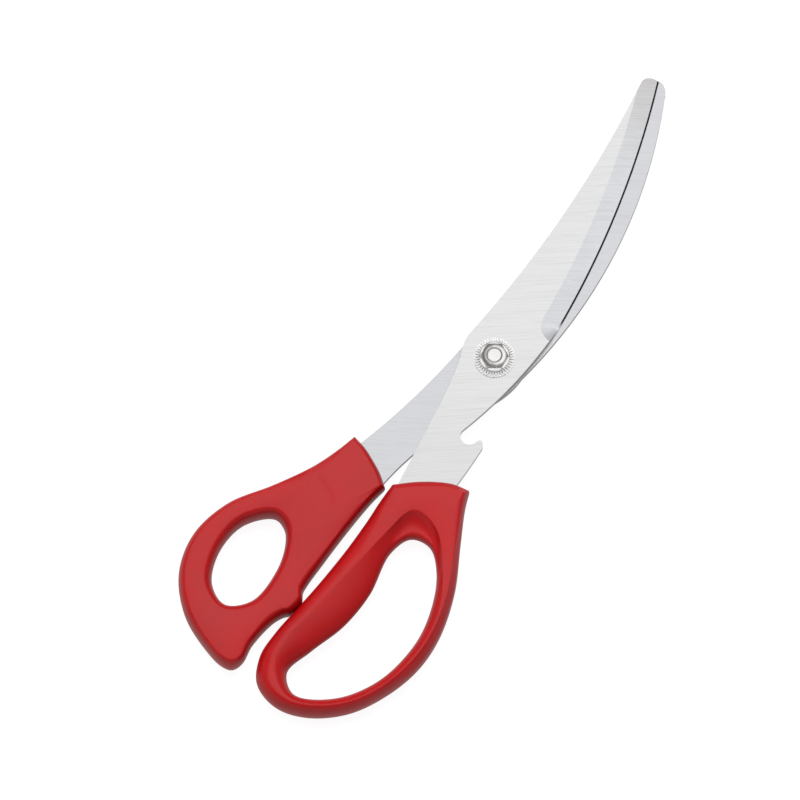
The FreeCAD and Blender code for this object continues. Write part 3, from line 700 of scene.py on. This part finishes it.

# %% Painted facet reflection, tang and painted edge shade
# Painted reflection on the facet, with the real grinding marks over it.
painted_facet_reflection = blend(tree, fade(tree, height, 85 * MM, TIP), FACET_REFLECTION_MIDDLE, FACET_REFLECTION_TIP)
facet_reflection_and_marks = blend(tree, facet_marks, painted_facet_reflection, FACET_MARK)
upwards = component(tree, add_node(tree, "ShaderNodeNewGeometry").outputs["Normal"], 2)
on_facet = calc(tree, "MULTIPLY", fade(tree, upwards, 0.985, 0.995, 1, 0), fade(tree, upwards, 0.6, 0.8))
on_tang = calc(tree, "MULTIPLY", fade(tree, height, -50 * MM, 0.0, 1, 0), TANG_SHARE)
# Painted edge shade: a dark line along the cutting edge, from the heel to the tip.
near_edge = fade(tree, radius, EDGE_RADIUS - EDGE_SHADE_WIDTH, EDGE_RADIUS - EDGE_SHADE_WIDTH + EDGE_SHADE_FADE)
on_edge_shade = calc(tree, "MULTIPLY", near_edge, fade(tree, height, HEEL - 1 * MM, HEEL + 3 * MM))
color = blend(tree, on_tang, color, TANG_COLOR)
color = blend(tree, on_facet, color, facet_reflection_and_marks)
color = blend(tree, on_edge_shade, color, EDGE_SHADE_COLOR)
tree.links.new(color, shader.inputs["Base Color"])
print("upper blade:", upper_steel.name)

# %% [markdown]
# ### Handle plastic
#
# The handles are moulded in a tough red plastic with a satin mould finish. Its colour is deep, and its
# sheen pale and soft, so the surface is fairly rough and the specular level is below the usual 0.5.
# A very fine grain breaks the sheen up, and the colour varies slowly, as it does in moulded plastic.

# %% Handle plastic
DARKER_RED, LIGHTER_RED = (0.35, 0.0025, 0.004, 1), (0.42, 0.0035, 0.005, 1)
red_plastic, tree, shader = start_material("red_plastic", 0.0)
flow = use_group(tree, cloudy, Scale=38.0)["Value"]
grain = use_group(tree, cloudy, Scale=900.0)["Value"]
level = calc(tree, "ADD", calc(tree, "MULTIPLY", flow, 0.7), calc(tree, "MULTIPLY", grain, 0.3))
red = blend(tree, level, DARKER_RED, LIGHTER_RED)
tree.links.new(red, shader.inputs["Base Color"])
tree.links.new(fade(tree, level, 0, 1, 0.33, 0.43), shader.inputs["Roughness"])
bump = add_node(tree, "ShaderNodeBump", {"Strength": 0.06, "Distance": 0.00005, "Height": grain})
tree.links.new(bump.outputs[0], shader.inputs["Normal"])
shader.inputs["Specular IOR Level"].default_value = 0.4
print("handles:", red_plastic.name)

# %% [markdown]
# ### Plated pivot parts
#
# The bolt and the nut are polished and plated, so they mirror the studio and its dim parts. Their surface
# is never perfectly even, and a slow bump bends the reflections. The washer is duller: it is rougher
# and only partly metallic, so that it also scatters light, as a matt plating does.

# %% Plated parts
def plated(name, tone, metallic, rough_low, rough_high, waves):
    """A plated finish with slow clouds of colour and roughness, and a bump of the given strength."""
    made, tree, shader = start_material(name, metallic)
    clouds = use_group(tree, cloudy, Scale=420.0)["Value"]
    dents = use_group(tree, cloudy, Scale=160.0)["Value"]
    darker = [*(c * 0.9 for c in tone), 1]
    tree.links.new(blend(tree, clouds, darker, [*tone, 1]), shader.inputs["Base Color"])
    tree.links.new(fade(tree, clouds, 0, 1, rough_low, rough_high), shader.inputs["Roughness"])
    bump = add_node(tree, "ShaderNodeBump", {"Strength": waves, "Distance": 0.0003, "Height": dents})
    tree.links.new(bump.outputs[0], shader.inputs["Normal"])
    return made


chrome = plated("chrome", (0.9, 0.89, 0.88), 1.0, 0.08, 0.16, 0.35)
zinc = plated("zinc", (0.84, 0.84, 0.84), 0.4, 0.28, 0.4, 0.05)
print("plated parts:", chrome.name, "and", zinc.name)

# %% [markdown]
# The finishes are given out last, when all of them are made. The frame's own pieces lose the plain
# material that they came with.

# %% Give out the finishes
for piece, finish in ((thumb_grip, red_plastic), (finger_grip, red_plastic), (nut, chrome),
                      (nodes["upper_blade"], upper_steel), (nodes["lower_blade"], lower_steel),
                      (nodes["pivot_bolt"], chrome), (nodes["serrated_washer"], zinc)):
    piece.data.materials.clear()
    piece.data.materials.append(finish)
    print(piece.name, "-", finish.name)

# %% [markdown]
# ## Studio
#
# Bright steel shows what stands round it, so the light is mostly a large soft sky. It is brightest
# almost overhead, falls off to a dim belt and rises again to the horizon, as with a softbox over a pale
# table. A ramp on the direction does this with a few nodes and no image. Only what the pieces mirror
# and are lit by uses the ramp: the background itself is white.

# %% Sky
SOFTBOX = Vector((0.08, 0.32, 0.93)).normalized()
SKY_STRENGTH = 1.05
SKY = ((0.0, 0.62), (0.28, 0.42), (0.50, 0.18), (0.70, 0.18), (0.86, 0.46), (0.945, 1.0))
world = bpy.data.worlds.new("studio")
bpy.context.scene.world = world
world.use_nodes = True
tree = world.node_tree
tree.nodes.clear()
direction = add_node(tree, "ShaderNodeTexCoord").outputs["Generated"]
towards_softbox = add_node(tree, "ShaderNodeVectorMath", {0: direction, 1: SOFTBOX}, operation="DOT_PRODUCT")
ramp = add_node(tree, "ShaderNodeValToRGB", {0: towards_softbox.outputs["Value"]})
elements = ramp.color_ramp.elements
for position, level in SKY:
    elements.new(position).color = (level, level, level, 1)
elements.remove(elements[0])
elements.remove(elements[-1])
sky = add_node(tree, "ShaderNodeBackground", {0: ramp.outputs[0], 1: SKY_STRENGTH})
white = add_node(tree, "ShaderNodeBackground", {0: (1, 1, 1, 1)})
seen = add_node(tree, "ShaderNodeLightPath").outputs["Is Camera Ray"]
mix = add_node(tree, "ShaderNodeMixShader", {0: seen, 1: sky.outputs[0], 2: white.outputs[0]})
add_node(tree, "ShaderNodeOutputWorld", {0: mix.outputs[0]})
print(f"softbox {math.degrees(math.asin(SOFTBOX.z)):.0f} degrees above the table")

# %% [markdown]
# A soft lamp from behind gives the handles some direction and a faint shadow. It is left out of all
# reflections, because its square outline would show in the steel.

# %% Lamp
LAMP_PLACE = (-0.45, 0.5, 1.3)
bpy.ops.object.light_add(type="AREA", location=LAMP_PLACE)
lamp = bpy.context.object
lamp.name = "soft_lamp"
lamp.data.size = 1.4
lamp.data.energy = 26
lamp.visible_glossy = False
lamp.rotation_euler = Vector(LAMP_PLACE).to_track_quat("Z", "Y").to_euler()
print(f"lamp {Vector(LAMP_PLACE).length:.1f} m away")

# %% [markdown]
# The table is plain and looks nearly white. Most of that is its own glow, so that the shadows on it stay
# faint. The pieces see a weaker glow, which lights their side walls from below. The table lies a hair
# under them, so that it cuts through nothing.

# %% Table
TABLE_SIZE, TABLE_GAP = 6, 0.2 * MM  # metres
GLOW_FOR_PIECES, GLOW_SEEN = 0.5, 0.92
bpy.ops.mesh.primitive_plane_add(size=TABLE_SIZE, location=(0, 0, -TABLE_GAP))
floor = bpy.context.object
floor.name = "floor"
table_top = bpy.data.materials.new("table_top")
table_top.use_nodes = True
tree = table_top.node_tree
shader = tree.nodes["Principled BSDF"]
shader.inputs["Base Color"].default_value = (0.16, 0.16, 0.16, 1)
shader.inputs["Roughness"].default_value = 0.9
shader.inputs["Specular IOR Level"].default_value = 0
shader.inputs["Emission Color"].default_value = (1, 1, 1, 1)
seen = add_node(tree, "ShaderNodeLightPath").outputs["Is Camera Ray"]
glow = add_node(tree, "ShaderNodeMapRange", {"Value": seen, "To Min": GLOW_FOR_PIECES, "To Max": GLOW_SEEN})
tree.links.new(glow.outputs[0], shader.inputs["Emission Strength"])
floor.data.materials.append(table_top)
floor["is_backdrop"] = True
bpy.context.scene.view_settings.view_transform = "Standard"
print("table:", table_top.name)

# %% [markdown]
# ## Camera
#
# The camera stands far away with a long lens, so that parallel edges stay almost parallel. It looks down
# steeply from a little to the right, so that the blades point to the upper right.

# %% Camera
AZIMUTH, ELEVATION = math.radians(26.7), math.radians(73)
TARGET = Vector((-24.1, -30.7, 9.3)) * MM
HALF_WIDTH = 149.6 * MM  # half of what it sees from side to side at the shears
DISTANCE = 13.5  # metres
back = Vector((math.sin(AZIMUTH) * math.cos(ELEVATION), -math.cos(AZIMUTH) * math.cos(ELEVATION),
               math.sin(ELEVATION)))
camera = bpy.data.objects.new("camera", bpy.data.cameras.new("camera"))
bpy.context.scene.collection.objects.link(camera)
camera.location = TARGET + back * DISTANCE
camera.rotation_euler = (-back).to_track_quat("-Z", "Y").to_euler()
camera.data.lens = camera.data.sensor_width / 2 * DISTANCE / HALF_WIDTH
bpy.context.scene.camera = camera
print(f"lens {camera.data.lens:.0f} mm at {DISTANCE} m")

# %% [markdown]
# ## Sizes
#
# The finished pieces are measured beside the frame's, to see that no look has outgrown the real part.

# %% Sizes and the end
visual_bounds = [list(corner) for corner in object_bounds()]
difference = np.abs(np.array(visual_bounds) - np.array(cad_bounds)).max()
print(f"the boxes differ by {difference / MM:.3f} mm at most")
